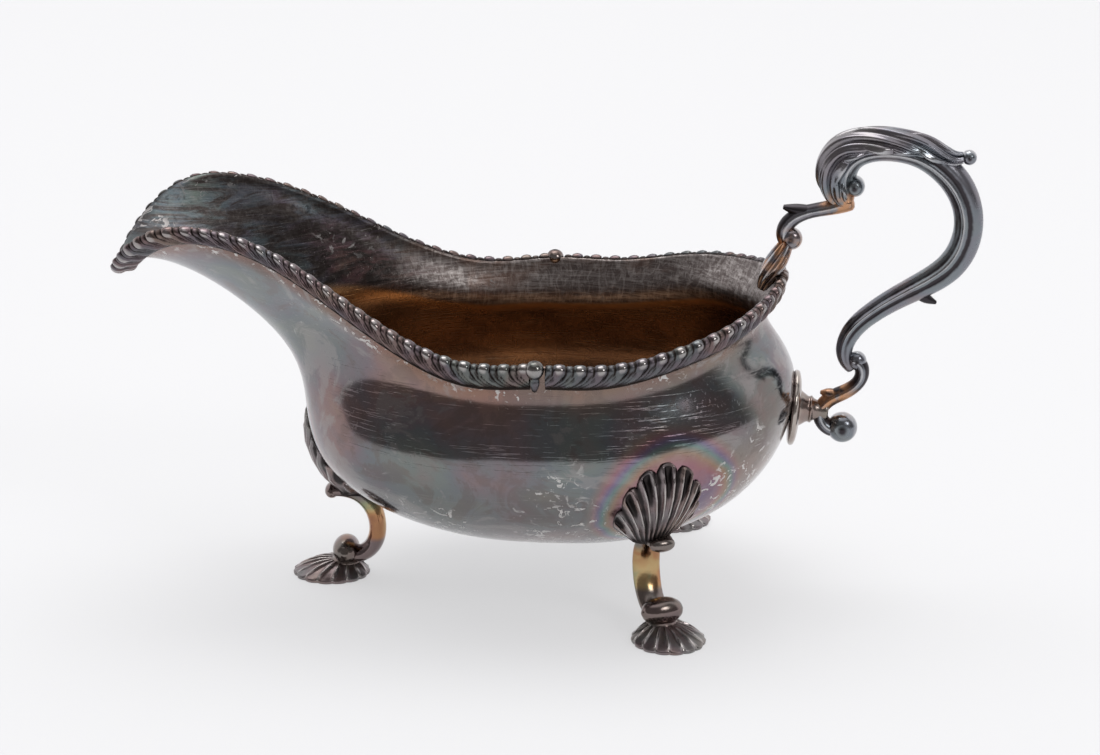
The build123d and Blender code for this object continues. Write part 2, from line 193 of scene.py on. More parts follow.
def skin(name, grid, values=None, uv=None, around=True):
    """A closed mesh over a grid of points in millimetres. values: per-point attributes by name."""
    rows, cols = grid.shape[:2]
    number = np.arange(rows * cols).reshape(rows, cols)
    nxt = np.roll(number, -1, axis=1) if around else number[:, 1:]
    here = number if around else number[:, :-1]
    quads = np.stack([here[:-1], nxt[:-1], nxt[1:], here[1:]], -1).reshape(-1, 4)
    mesh = bpy.data.meshes.new(name)
    mesh.from_pydata((grid.reshape(-1, 3) * MM).tolist(), [], quads.tolist())
    for key, value in (values or {}).items():
        layer = mesh.attributes.new(key, "FLOAT", "POINT")
        layer.data.foreach_set("value", np.asarray(value, np.float32).reshape(-1))
    if uv is not None:
        u, v = uv
        u_next = np.append(u[1:], u[-1] + (u[1] - u[0]))[:nxt.shape[1]]
        u_here = u[:nxt.shape[1]]
        shape = (rows - 1, nxt.shape[1])
        corner_u = [np.broadcast_to(c, shape) for c in (u_here, u_next, u_next, u_here)]
        v_top = np.broadcast_to(v[:-1, None], shape)
        v_low = np.broadcast_to(v[1:, None], shape)
        corner_v = [v_top, v_top, v_low, v_low]
        pairs = np.stack([np.stack(corner_u, -1), np.stack(corner_v, -1)], -1)
        layer = mesh.uv_layers.new(name="wall")
        layer.data.foreach_set("uv", pairs.astype(np.float32).reshape(-1))
    return finish_mesh(name, mesh)


def finish_mesh(name, mesh):
    """Close seams and poles, turn faces outwards, shade smooth and link the object."""
    work = bmesh.new()
    work.from_mesh(mesh)
    bmesh.ops.remove_doubles(work, verts=work.verts, dist=2e-6)
    bmesh.ops.dissolve_degenerate(work, edges=work.edges, dist=1e-7)
    bmesh.ops.recalc_face_normals(work, faces=work.faces)
    for face in work.faces:
        face.smooth = True
    work.to_mesh(mesh)
    work.free()
    piece = bpy.data.objects.new(name, mesh)
    bpy.context.collection.objects.link(piece)
    return piece


def bar(name, rows, shape=None, around=48, per_mm=3.0, blunt=0.6):
    """A bar of oval section along a smooth path in y = 0, with rounded ends.
    shape(angle, part) gives each point's height above the oval, in millimetres."""
    rows = np.asarray(rows, float)
    knots, path = curve_through(rows[:, :2])
    _, size = curve_through(rows[:, 2:], even=True)
    length = knots[-1]
    count = max(int(length * per_mm), 12)
    t = np.linspace(0, length, count)
    centre = path(t)
    even = np.interp(t, knots, np.arange(len(rows)))
    half = size(even) / 2
    along = np.gradient(centre, axis=0)
    along /= np.linalg.norm(along, axis=1)[:, None]
    caps = np.radians([15, 35, 55, 75, 90])
    start = [(centre[0] - along[0] * blunt * half[0, 0] * np.sin(c), half[0] * np.cos(c)) for c in caps]
    end = [(centre[-1] + along[-1] * blunt * half[-1, 0] * np.sin(c), half[-1] * np.cos(c)) for c in caps]
    centre = np.concatenate([[c for c, _ in start[::-1]], centre, [c for c, _ in end]])
    half = np.concatenate([[h for _, h in start[::-1]], half, [h for _, h in end]])
    along = np.concatenate([[along[0]] * len(caps), along, [along[-1]] * len(caps)])
    part = np.concatenate([np.zeros(len(caps)), t / length, np.ones(len(caps))])[:, None]
    angle = np.linspace(0, 2 * math.pi, around, endpoint=False)[None, :]
    lift = np.zeros((len(centre), around))
    if shape is not None:
        lift = lift + shape(angle, part) * np.minimum(1, half[:, :1] / max(half[:, 0].max() * 0.35, 1e-6))
    lift[0] = lift[-1] = 0
    normal = np.stack([-along[:, 1], along[:, 0]], 1)
    reach = (half[:, :1] + lift) * np.cos(angle) * (half[:, :1] > 1e-6)
    side = (half[:, 1:] + lift) * np.sin(angle) * (half[:, 1:] > 1e-6)
    x = centre[:, :1] + normal[:, :1] * reach
    z = centre[:, 1:] + normal[:, 1:] * reach
    raised = lift - lift.min() if shape is not None else lift
    raised = raised / max(raised.max(), 1e-6)
    return skin(name, np.stack([x, side, z], -1), {"raised": raised})


def turned(name, profile, place, axis="Y", around=48):
    """A turned form: profile rows are distance along the axis and radius, about a place."""
    profile = np.asarray(profile, float)
    knots, line = curve_through(profile)
    rows = line(np.linspace(0, knots[-1], 8 * len(profile)))
    rows[:, 1] = np.maximum(rows[:, 1], 0)
    rows[0, 1] = rows[-1, 1] = 0
    angle = np.linspace(0, 2 * math.pi, around, endpoint=False)[None, :]
    across, up = rows[:, 1:] * np.cos(angle), rows[:, 1:] * np.sin(angle)
    length = rows[:, :1] + 0 * angle
    order = {"Y": (across, length, up), "X": (length, across, up), "Z": (across, up, length)}[axis]
    raised = rows[:, 1:] / rows[:, 1].max() + 0 * angle
    return skin(name, np.stack(order, -1) + np.asarray(place, float), {"raised": raised})


def joined(name, pieces):
    """Several closed forms as one casting."""
    bpy.ops.object.select_all(action="DESELECT")
    for piece in pieces:
        piece.select_set(True)
    bpy.context.view_layer.objects.active = pieces[0]
    bpy.ops.object.join()
    pieces[0].name = name
    bpy.ops.object.select_all(action="DESELECT")
    return pieces[0]


def scroll_ball(name, x, z, radius, half_width=None):
    """The rolled end of a scroll: an oval ball with a small boss on each flank."""
    half_width = half_width or radius
    rows = [(-1.0, 0), (-0.985, 0.16), (-0.93, 0.30), (-0.90, 0.42), (-0.78, 0.64), (-0.5, 0.88), (0, 1)]
    rows = rows + [(-a, r) for a, r in reversed(rows[:-1])]
    profile = [(a * half_width, r * radius) for a, r in rows]
    return turned(name, profile, (x, 0, z))


def ridge(angle, centre, width):
    """A soft raised line on a bar, at an angle round its section."""
    away = np.abs((angle - centre + math.pi) % (2 * math.pi) - math.pi)
    return np.exp(-(away / width) ** 2)


# ---------------------------------------------------------------- bowl
def bowl_rings():
    """Half outlines of the outer wall from the bottom to the rim."""
    turn = np.radians(BELLY_TURNS)
    c, s = np.cos(turn), np.sin(turn)
    x = BELLY_REACH * np.sign(c) * np.abs(c) ** BELLY_SQUARE
    y = BELLY_HALF * np.abs(s) ** BELLY_SQUARE
    y[[0, -1]] = 0
    z = BELLY_Z_SIDE + (BELLY_Z_BACK - BELLY_Z_SIDE) * np.maximum(c, 0) ** 2
    tuck = 1 - (1 - BACK_TUCK) * np.maximum(c, 0)
    rings = []
    for rise in np.radians(BELLY_RISES):
        out = math.sin(rise) ** tuck
        height = z - (z - BOTTOM_Z) * math.cos(rise)
        rings.append(np.stack([BELLY_CENTRE + x * out, y * out, height], 1))
    rings[0][:, 2] = BOTTOM_Z
    return np.array(rings + [np.array(r, float) for r in (WAIST, FLARE, RIM)])


def wall(rows=120, cols=288):
    """Outer wall as a grid of points, its outward directions and each row's way above the waist."""
    half = bowl_rings()
    full = np.concatenate([half, half[:, -2:0:-1] * [1, -1, 1]], axis=1)
    knots, round_ring = curve_through(full.transpose(1, 0, 2), closed=True, even=True)
    rings = round_ring(np.linspace(0, knots[-1], cols, endpoint=False)).transpose(1, 0, 2)
    gap = np.linalg.norm(np.diff(rings, axis=0), axis=2).mean(axis=1)
    knots = np.concatenate([[0], np.cumsum(gap)])
    t = np.linspace(0, knots[-1], rows)
    grid = across_rings(knots, rings, t)
    around = np.roll(grid, -1, axis=1) - np.roll(grid, 1, axis=1)
    up = np.gradient(grid, axis=0)
    out = np.cross(around, up)
    out /= np.linalg.norm(out, axis=2)[:, :, None]
    return grid, out, t - knots[len(BELLY_RISES)]


def across_rings(knots, rings, t):
    """Smooth interpolation from ring to ring at given distances up the wall."""
    step = np.diff(knots)
    n = len(knots)
    flat = rings.reshape(n, -1)
    left = np.zeros((n, n))
    right = np.zeros_like(flat)
    slope = np.diff(flat, axis=0) / step[:, None]
    for i in range(1, n - 1):
        left[i, i - 1:i + 2] = step[i - 1], 2 * (step[i - 1] + step[i]), step[i]
        right[i] = 6 * (slope[i] - slope[i - 1])
    left[0, :3] = step[1], -(step[0] + step[1]), step[0]
    left[-1, -3:] = step[-1], -(step[-2] + step[-1]), step[-2]
    bend = np.linalg.solve(left, right)
    i = np.clip(np.searchsorted(knots, t, side="right") - 1, 0, n - 2)
    h = step[i][:, None]
    b = (t - knots[i])[:, None] / h
    a = 1 - b
    value = a * flat[i] + b * flat[i + 1]
    value = value + ((a ** 3 - a) * bend[i] + (b ** 3 - b) * bend[i + 1]) * h * h / 6
    return value.reshape((len(t),) + rings.shape[1:])


def make_bowl(grid, out, level):
    """Outer wall, rounded rim and inner wall as one closed shell."""
    inner = grid - out * WALL
    inner[0, :, 2] = BOTTOM_Z + WALL
    crest = (grid[-1] + inner[-1]) / 2 + (grid[-1] - grid[-2]) * 0.5
    low = np.zeros_like(grid[0]) + [BELLY_CENTRE, 0, BOTTOM_Z]
    floor = np.zeros_like(grid[0]) + [BELLY_CENTRE, 0, BOTTOM_Z + WALL]
    down = np.linalg.norm(np.diff(grid, axis=0), axis=2)
    below = np.concatenate([np.cumsum(down[::-1], axis=0)[::-1], np.zeros((1, grid.shape[1]))])
    rows = np.concatenate([low[None], grid, crest[None], inner[::-1], floor[None]])
    depth = np.concatenate([below[:1], below, 0 * below[:1], below[::-1], below[:1]])
    inside = np.zeros(rows.shape[:2])
    inside[len(grid) + 2:] = 1
    u = np.linspace(0, 1, grid.shape[1], endpoint=False)
    v = depth.mean(axis=1) * MM
    rise = np.concatenate([level[:1], level, level[-1:], level[::-1], level[:1]])[:, None] + 0 * depth
    values = {"inside": inside, "below_rim": depth * MM, "above_waist": rise * MM}
    return skin("bowl_shell", rows, values, uv=(u, v))


# ---------------------------------------------------------------- gadroon border
def beads(turn):
    """Height of one round bead, with a small pearl between it and the next."""
    q = turn % 1.0
    height = np.full_like(q, -0.25)
    for middle, half, tall in ((0.30, 0.30, 1.0), (0.80, 0.17, 0.45)):
        inside = 1 - ((q - middle) / half) ** 2
        height = np.maximum(height, tall * np.sqrt(np.maximum(inside, 0)) - 0.25 * (inside <= 0))
    return height


def reeds(turn):
    """Height of the slanted reeds: one broad and two thin in each repeat."""
    q = turn % 1.0
    height = np.full_like(q, -0.40)
    for middle, half, tall in ((0.26, 0.24, 1.0), (0.62, 0.115, 0.75), (0.87, 0.115, 0.75)):
        inside = 1 - ((q - middle) / half) ** 2
        height = np.maximum(height, tall * np.sqrt(np.maximum(inside, 0)) - 0.40 * (inside <= 0))
    return height


def rim_line(grid, out):
    """Points, outward and upward directions along the far half of the rim, handle end first."""
    half = grid.shape[1] // 2 + 1
    point = grid[-1, :half]
    up = grid[-1, :half] - grid[-8, :half]
    up /= np.linalg.norm(up, axis=1)[:, None]
    step = np.linalg.norm(np.diff(point, axis=0), axis=1)
    length = np.concatenate([[0], np.cumsum(step)])
    return point, out[-1, :half], up, length


def border_strip(name, line, first, last, slant, side):
    """One strip of border between two distances along the rim; slant is +1 or -1."""
    point, out, up, length = line
    repeats = round((last - first) / LOBE_PITCH)
    pitch = (last - first) / repeats
    s = np.linspace(first, last, repeats * 22 + 1)

    def along(values):
        return np.stack([np.interp(s, length, values[:, k]) for k in range(3)], 1)

    knots, section = curve_through(np.array(BORDER_SECTION), closed=True)
    rows = section(np.linspace(0, knots[-1], 46, endpoint=False))
    o, h, bead_tall, reed_tall, shift = rows.T
    centre_o, centre_h = -0.1, -2.2
    away = np.stack([o - centre_o, h - centre_h], 1)
    away /= np.linalg.norm(away, axis=1)[:, None]
    turn = (s[:, None] - first + slant * shift[None, :]) / pitch
    bump = beads(turn) * np.maximum(bead_tall, 0) + reeds(turn) * np.maximum(reed_tall, 0)
    place, n, u = along(point), along(out), along(up)
    out_by = o[None, :] + away[:, 0][None, :] * bump
    up_by = h[None, :] + away[:, 1][None, :] * bump
    grid = place[:, None, :] + n[:, None, :] * out_by[:, :, None] + u[:, None, :] * up_by[:, :, None]
    for end in (0, -1):
        if abs(place[end, 1]) < 0.1:
            grid[end, :, 1] = 0
    middle = grid.mean(axis=1, keepdims=True) + 0 * grid
    grid = np.concatenate([middle[:1], grid, middle[-1:]])
    raised = np.concatenate([0 * bump[:1], bump, 0 * bump[:1]])
    if side == "near":
        grid = grid * [1, -1, 1]
    return skin(name, grid, {"raised": np.clip(raised, 0, 1)})


def centre_bead(name, side):
    """The larger bead half way along the rim, with a plain drop below it."""
    x, y, z = RIM[CENTRE_STATION]
    sign = -1 if side == "near" else 1
    rows = [
        (-5.7, 0), (-5.5, 0.5), (-4.6, 0.9), (-3.2, 1.25), (-2.3, 1.2), (-1.9, 1.5),
        (-1.2, 2.0), (0, 2.3), (1.0, 2.1), (1.9, 1.3), (2.2, 0),
    ]
    return turned(name, rows, (x, sign * (y + 0.5), z - 0.1), axis="Z", around=40)


# ---------------------------------------------------------------- feet
def placed(piece, place):
    """Turn a foot piece to its direction and stand it in its place."""
    x, y, turn = place
    c, s = math.cos(math.radians(turn)), math.sin(math.radians(turn))
    co = np.zeros(len(piece.data.vertices) * 3)
    piece.data.vertices.foreach_get("co", co)
    co = co.reshape(-1, 3)
    across = co[:, 0] * c - co[:, 1] * s + x * MM
    deep = co[:, 0] * s + co[:, 1] * c + y * MM
    moved = np.stack([across, deep, co[:, 2]], 1)
    piece.data.vertices.foreach_set("co", moved.reshape(-1))
    piece.data.update()
    return piece


def leaned(rows, lean):
    """Rows of reach, z and sizes with the lean of a back leg worked in, from foot to knee."""
    moved = []
    for reach, z, *sizes in rows:
        share = min(max((z - LEAN_FROM) / (LEAN_TO - LEAN_FROM), 0), 1)
        moved.append((reach + lean[0] * share, z + lean[1] * share, *sizes))
    return moved


def foot_leg(name, place, lean):
    """Scroll leg with a soft spine, its knee knob and the rolled scroll on the pad."""
    def spine(angle, part):
        return 0.25 * ridge(angle, math.pi, 0.5) - 0.18 * ridge(angle, math.pi / 2, 0.35)

    leg = bar(name, leaned(LEG, lean), spine, around=40)
    ball = scroll_ball(name + "_ball", *LEG_BALL)
    knob = scroll_ball(name + "_knob", *leaned([LEG_KNOB], lean)[0])
    collar = turned(name + "_collar", [(3.0, 0), (3.05, 3.4), (3.5, 3.9), (4.3, 3.5), (4.6, 2.6), (4.7, 0)],
                    (LEG_BALL[0], 0, 0), axis="Z")
    return placed(joined(name, [leg, ball, knob, collar]), place)


def foot_pad(name, place, flutes=15):
    """Domed scallop: hollow flutes between thin ridges, spreading to a waved edge."""
    angle = np.linspace(0, 2 * math.pi, flutes * 16, endpoint=False)
    t = np.linspace(0, 1, 30)[:, None]
    q = angle * flutes / (2 * math.pi)
    edge_wave = np.abs(np.sin(math.pi * q))[None, :] ** 0.6
    line = np.exp(-((np.minimum(q % 1, 1 - q % 1)) / 0.13) ** 2)[None, :]
    crown = LEG_BALL[0]
    edge = 1 - 0.06 * (1 - edge_wave)
    rim_x = PAD_LENGTH / 2 * np.cos(angle) * edge
    rim_y = PAD_WIDTH / 2 * np.sin(angle) * edge
    x = crown * (1 - t) + rim_x * t
    y = rim_y * t
    dome = 0.9 + (PAD_HEIGHT - 0.5) * (1 - t ** 2.1) ** 0.85
    grow = np.clip((t - 0.2) * 3, 0, 1) * (1 - 0.6 * t ** 8)
    z = dome + grow * (0.50 * line - 0.42 * edge_wave)
    z[-1] = 0.85
    top = np.stack([x, y, z], -1)
    rim = top[-1:]
    lip = np.concatenate([rim * [1, 1, 0] + [0, 0, 0.45], rim * [0.985, 0.985, 0]], 0)
    base = np.zeros_like(rim)
    grid = np.concatenate([top, lip, base])
    raised = np.concatenate([(0.35 + 0.65 * line) * np.ones_like(t), 0.6 * np.ones((3, len(angle)))])
    return placed(skin(name, grid, {"raised": raised}), place)


def knee_shell(name, place, lean, aside, walls, ribs=7):
    """Fan shell that hugs the bowl: paired ridges spread from the root to a scalloped crown."""
    x0, y0, turn = place
    c, s = math.cos(math.radians(turn)), math.sin(math.radians(turn))
    levels = np.array(KNEE_LEVELS)
    spread = math.radians(SHELL_SPREAD)
    angle = np.linspace(-spread, spread, ribs * 26 + 1)
    u = angle / spread
    q = (u + 1) / 2 * ribs
    lobe = np.abs(np.sin(math.pi * q)) ** 0.6
    pair = np.exp(-((q % 1 - 0.25) / 0.09) ** 2) + np.exp(-((q % 1 - 0.75) / 0.09) ** 2)
    cup = np.exp(-((q % 1 - 0.5) / 0.15) ** 2)
    open_out = 1 - 0.30 * np.abs(u) ** 2.0
    reach = (SHELL_TOP - SHELL_ROOT) * open_out * (0.90 + 0.10 * lobe)
    t = np.linspace(0.0, 1, 44)[:, None]
    v = np.sin(angle) * reach * t * 0.66 + u * SHELL_ROOT_HALF * (1 - t)
    z = SHELL_ROOT + np.cos(angle * 0.93) * reach * t
    hull = np.full(z.shape, -30.0)
    for i in range(z.shape[0]):
        for j in range(z.shape[1]):
            w = v[i, j] + aside
            origin = Vector((x0 + RAY_START * c - w * s, y0 + RAY_START * s + w * c, z[i, j] + lean[1])) * MM
            hit = walls.ray_cast(origin, Vector((-c, -s, 0)))
            if hit[0] is not None:
                hull[i, j] = RAY_START - hit[3] / MM
    outside = np.interp(z, levels[:, 0], levels[:, 1]) + lean[0]
    width = np.interp(z, levels[:, 0], levels[:, 2]) * 1.10
    depth = np.interp(z, levels[:, 0], levels[:, 3])
    round_off = np.sqrt(np.maximum(1 - (v / width) ** 2, 0))
    form = outside - depth * (1 - round_off) - 0.9
    front = np.maximum(form, hull + 1.2 * (1 - t ** 8) + 0.1)
    rise = np.clip(t * 2.5, 0.15, 1)
    lift = (0.80 * pair + 0.35 * lobe) * rise * (1 - 0.4 * t ** 10)
    lift = lift - 1.1 * cup * np.clip((t - 0.55) * 3, 0, 1) * (t < 0.97)
    front = np.maximum(front + lift, hull + 0.15)
    back = np.maximum(hull - 0.5, front - 9.0)
    edge = np.minimum(hull + 0.1, front)

    def local(depths):
        w = v + aside
        return np.stack([x0 + depths * c - w * s, y0 + depths * s + w * c, z + lean[1]], -1)

    face, rear, rim = local(front), local(back), local(edge)
    grid = np.concatenate([face, rim[-1:], rear[::-1]])
    high = np.concatenate([lift, lift[-1:] * 0, lift[::-1] * 0])
    left = (grid[:, :1] + grid[::-1][:, :1]) / 2
    right = (grid[:, -1:] + grid[::-1][:, -1:]) / 2
    grid = np.concatenate([left, grid, right], axis=1)
    high = np.concatenate([high[:, :1], high, high[:, -1:]], axis=1)
    bottom = (grid[:1] + grid[-1:]) / 2
    grid = np.concatenate([bottom, grid, bottom])
    high = np.concatenate([high[:1], high, high[:1] * 0])
    return skin(name, grid, {"raised": np.clip(high / 1.15, 0, 1)}, around=False)


# ---------------------------------------------------------------- handle
def handle_scroll(name):
    """Main scroll: a spine on the back, a raised line along each flank, and the small spur."""
    def mould(angle, part):
        body = 0.32 * ridge(angle, math.pi, 0.35) + 0.10 * ridge(angle, 0, 0.5)
        for side in (1, -1):
            body = body + 0.42 * ridge(angle, side * 1.95, 0.16) - 0.34 * ridge(angle, side * 1.52, 0.22)
            body = body - 0.22 * ridge(angle, side * 2.35, 0.2)
        return body * np.clip(part * 12, 0, 1) * np.clip((1 - part) * 10, 0, 1)

    scroll = bar(name, MAIN_SCROLL, mould, around=96)
    spur = bar(name + "_spur", BACK_SPUR, around=24)
    curl = scroll_ball(name + "_curl", *CURL)
    return joined(name, [scroll, spur, curl])


def leaf_cap(name):
    """Acanthus leaf over the top of the scroll: twisted flutes, waved edges and a bud at the tip."""
    def flutes(angle, part):
        side = np.abs((angle + math.pi) % (2 * math.pi) - math.pi)
        groove = np.abs(np.sin(side * 3.6 - 10.5 * part + 0.6)) ** 0.8
        rib = 0.14 * np.cos((side * 3.6 - 10.5 * part) * 4)
        lobe = 0.9 * np.exp(-((side - 1.9) / 0.30) ** 2) * np.abs(np.sin(part * 21)) ** 0.7
        under = np.clip((side - 2.1) * 2.2, 0, 1)
        return (1.15 * groove + rib - 0.9 + lobe - 0.8 * under) * np.clip(part * 14, 0.25, 1)

    cap = bar(name, LEAF_CAP, flutes, around=144, per_mm=4.5)
    bud = scroll_ball(name + "_bud", *BUD, 2.3)
    return joined(name, [cap, bud])


def upper_bracket(name):
    """Short arm with its square tip and rolled ball."""
    def mould(angle, part):
        return 0.2 * ridge(angle, math.pi / 2, 0.4) + 0.2 * ridge(angle, -math.pi / 2, 0.4)

    arm = bar(name, UPPER_BRACKET, mould, around=32)
    tip = bar(name + "_tip", UPPER_TIP, around=24, blunt=0.3)
    ball = scroll_ball(name + "_ball", *UPPER_BALL, 2.6)
    return joined(name, [arm, tip, ball])


def rim_leaf(name):
    """Leaf that clasps the back of the rim, with flutes along it."""
    def flutes(angle, part):
        return 0.75 * np.abs(np.sin(angle * 3.5 + 2.4 * part)) - 0.45

    return bar(name, RIM_LEAF, flutes, around=96, per_mm=5)


def lower_bracket(name):
    """Scroll bracket below the handle, with its tip and ball."""
    def mould(angle, part):
        return 0.22 * ridge(angle, math.pi / 2, 0.35) + 0.22 * ridge(angle, -math.pi / 2, 0.35)

    arm = bar(name, LOWER_BRACKET, mould, around=36)
    tip = bar(name + "_tip", LOWER_TIP, around=24, blunt=0.3)
    ball = scroll_ball(name + "_ball", *LOWER_BALL, 3.7)
    head = scroll_ball(name + "_head", 79.9, 60.2, 2.5, 2.4)
    return joined(name, [arm, tip, ball, head])


def tilted(piece, place, tilt):
    """Stand a form made along +Z on the tilted seat of the handle socket."""
    a = math.radians(90 + tilt)
    co = np.zeros(len(piece.data.vertices) * 3)
    piece.data.vertices.foreach_get("co", co)
    x, y, z = co.reshape(-1, 3).T
    moved = np.stack([x * math.cos(a) + z * math.sin(a) + place[0] * MM, y,
                      -x * math.sin(a) + z * math.cos(a) + place[1] * MM], 1)
    piece.data.vertices.foreach_set("co", moved.reshape(-1))
    piece.data.update()
    return piece


def socket_disc(name):
    """Slightly dished disc with a rounded edge."""
    r = DISC_RADIUS
    rows = [
        (-0.2, 0), (-0.5, r * 0.5), (-1.3, r * 0.94), (-0.9, r),
        (-0.1, r), (0.5, r * 0.9), (1.0, r * 0.5), (1.2, 0),
    ]
    return tilted(turned(name, rows, (0, 0, 0.5), axis="Z", around=96), SOCKET, SOCKET_TILT)


def handle_neck(name):
    """Tapered neck with two thin rings."""
    rows = [
        (0.3, 0), (0.4, 5.0), (0.9, 5.3), (1.3, 4.9), (2.2, 4.2), (3.2, 3.5), (3.9, 3.3),
        (4.3, 3.5), (4.7, 3.2), (5.4, 2.7), (6.6, 2.4), (8.0, 2.5), (8.6, 0),
    ]
    return tilted(turned(name, rows, (0, 0, 0), axis="Z"), SOCKET, SOCKET_TILT)


# ---------------------------------------------------------------- node trees
class Tree:
    """Short hand for building one node tree; numbers and sockets mix freely."""

    def __init__(self, tree):
        self.tree = tree
        self.made = 0

    def add(self, kind, inputs=None, **settings):
        node = self.tree.nodes.new("ShaderNode" + kind)
        node.location = (220 * (self.made % 14), -280 * (self.made // 14))
        self.made += 1
        for key, value in settings.items():
            setattr(node, key, value)
        for key, value in (inputs or {}).items():
            self.put(node.inputs[key], value)
        return node

    def put(self, socket, value):
        if isinstance(value, bpy.types.NodeSocket):
            self.tree.links.new(value, socket)
        elif isinstance(value, tuple) and len(value) == 3 and socket.type == "RGBA":
            socket.default_value = value + (1.0,)
        else:
            socket.default_value = value

    def math(self, operation, a, b=0.0, clamp=False):
        return self.add("Math", {0: a, 1: b}, operation=operation, use_clamp=clamp).outputs[0]

    def mix(self, share, a, b, blend="MIX"):
        node = self.add("Mix", {0: share, 6: a, 7: b}, data_type="RGBA", blend_type=blend)
        return node.outputs[2]

    def step(self, value, low, high, out_low=0.0, out_high=1.0):
        inputs = {"Value": value, "From Min": low, "From Max": high, "To Min": out_low, "To Max": out_high}
        return self.add("MapRange", inputs, interpolation_type="SMOOTHSTEP", clamp=True).outputs[0]

    def noise(self, vector, scale, detail=3.0, rough=0.5, twist=0.0):
        inputs = {"Vector": vector, "Scale": scale, "Detail": detail, "Roughness": rough, "Distortion": twist}
        return self.add("TexNoise", inputs).outputs[0]

    def stretched(self, vector, scale, shift=(0.0, 0.0, 0.0)):
        inputs = {"Vector": vector, "Scale": scale, "Location": shift}
        return self.add("Mapping", inputs).outputs[0]

    def ramp(self, value, stops):
        node = self.add("ValToRGB", {0: value})
        band = node.color_ramp
        while len(band.elements) < len(stops):
            band.elements.new(0.5)
        for element, (place, colour) in zip(band.elements, stops):
            element.position = place
            element.color = colour + (1.0,)
        return node.outputs[0]

    def attribute(self, name):
        return self.add("Attribute", attribute_name=name).outputs["Fac"]

    def use(self, shared, inputs):
        node = self.add("Group", node_tree=shared)
        for key, value in inputs.items():
            self.put(node.inputs[key], value)
        return node


def shared_effect(name, inputs, outputs, build):
    """A node group with named number, colour and vector sockets."""
    kinds = {"value": "NodeSocketFloat", "colour": "NodeSocketColor", "vector": "NodeSocketVector"}
    tree = bpy.data.node_groups.new(name, "ShaderNodeTree")
    for key, kind in inputs:
        tree.interface.new_socket(name=key, in_out="INPUT", socket_type=kinds[kind])
    for key, kind in outputs:
        tree.interface.new_socket(name=key, in_out="OUTPUT", socket_type=kinds[kind])
    source = tree.nodes.new("NodeGroupInput")
    target = tree.nodes.new("NodeGroupOutput")
    target.location = (3400, 0)
    for key, socket in build(Tree(tree), source.outputs).items():
        tree.links.new(socket, target.inputs[key])
    return tree


def film_colours(t, given):
    """Colour of tarnished silver by the thickness of its film."""
    return {"Colour": t.ramp(given["Thickness"], [
        (0.00, (0.36, 0.34, 0.32)), (0.16, (0.33, 0.27, 0.21)), (0.30, (0.30, 0.18, 0.13)),
        (0.42, (0.22, 0.10, 0.11)), (0.53, (0.13, 0.10, 0.15)), (0.64, (0.09, 0.15, 0.18)),
        (0.75, (0.15, 0.21, 0.18)), (0.85, (0.24, 0.18, 0.15)), (0.93, (0.20, 0.12, 0.13)),
        (1.00, (0.12, 0.11, 0.12)),
    ])}


def pale_flecks(t, given):
    """Irregular pale corrosion flecks that come in drifts, with thin scratches among them."""
    place = given["Place"]
    low_end = t.math("SUBTRACT", 0.64, given["Amount"])
    drift = t.step(t.noise(place, 34.0, 4.0, 0.6), low_end, t.math("ADD", low_end, 0.12))
    ragged = t.noise(place, 300.0, 5.0, 0.62, 1.2)
    fleck = t.step(ragged, 0.590, 0.615)
    blot = t.step(t.noise(place, 120.0, 5.0, 0.6, 1.5), 0.635, 0.655)
    scratch = t.noise(t.stretched(place, (140.0, 140.0, 1900.0)), 1.0, 2.0, 0.5, 0.8)
    scratch = t.math("MULTIPLY", t.step(scratch, 0.62, 0.68), t.step(t.noise(place, 90.0), 0.50, 0.60))
    mask = t.math("MAXIMUM", t.math("MAXIMUM", fleck, blot), t.math("MULTIPLY", scratch, 0.5))
    mask = t.math("MULTIPLY", mask, drift, clamp=True)
    return {"Mask": mask}


def fine_wear(t, given):
    """Hair scratches and a slight hand-raised waviness, as a height in metres and a polish value."""
    place = given["Place"]
    long_way = t.noise(t.stretched(place, (90.0, 90.0, 2600.0)), 1.0, 3.0, 0.6, 0.3)
    cross_way = t.noise(t.stretched(place, (1800.0, 1800.0, 140.0)), 1.0, 3.0, 0.6, 0.3)
    hair = t.math("ADD", t.step(long_way, 0.58, 0.70), t.step(cross_way, 0.62, 0.74), clamp=True)
    wave = t.noise(place, 26.0, 2.0, 0.45)
    height = t.math("ADD", t.math("MULTIPLY", hair, -0.000016), t.math("MULTIPLY", wave, 0.0010))
    return {"Height": height, "Hair": hair}


FILM = shared_effect("film colours", [("Thickness", "value")], [("Colour", "colour")], film_colours)
FLECKS = shared_effect(
    "pale flecks", [("Place", "vector"), ("Amount", "value")], [("Mask", "value")], pale_flecks)
WEAR = shared_effect("fine wear", [("Place", "vector")], [("Height", "value"), ("Hair", "value")], fine_wear)


def silver(name, build):
    """A metal material. build(tree, place) gives the Principled inputs and a bump height."""
    material = bpy.data.materials.new(name)
    material.use_nodes = True
    t = Tree(material.node_tree)
    material.node_tree.nodes.clear()
    place = t.add("TexCoord").outputs["Object"]
    made = build(t, place)
    height = made.pop("height", None)
    shader = t.add("BsdfPrincipled", {"Metallic": 1.0})
    for key, value in made.items():
        t.put(shader.inputs[key], value)
    if height is not None:
        bump = t.add("Bump", {"Height": height, "Distance": 1.0, "Strength": 1.0})
        t.put(shader.inputs["Normal"], bump.outputs[0])
    out = t.add("OutputMaterial")
    t.put(out.inputs["Surface"], shader.outputs[0])
    return material


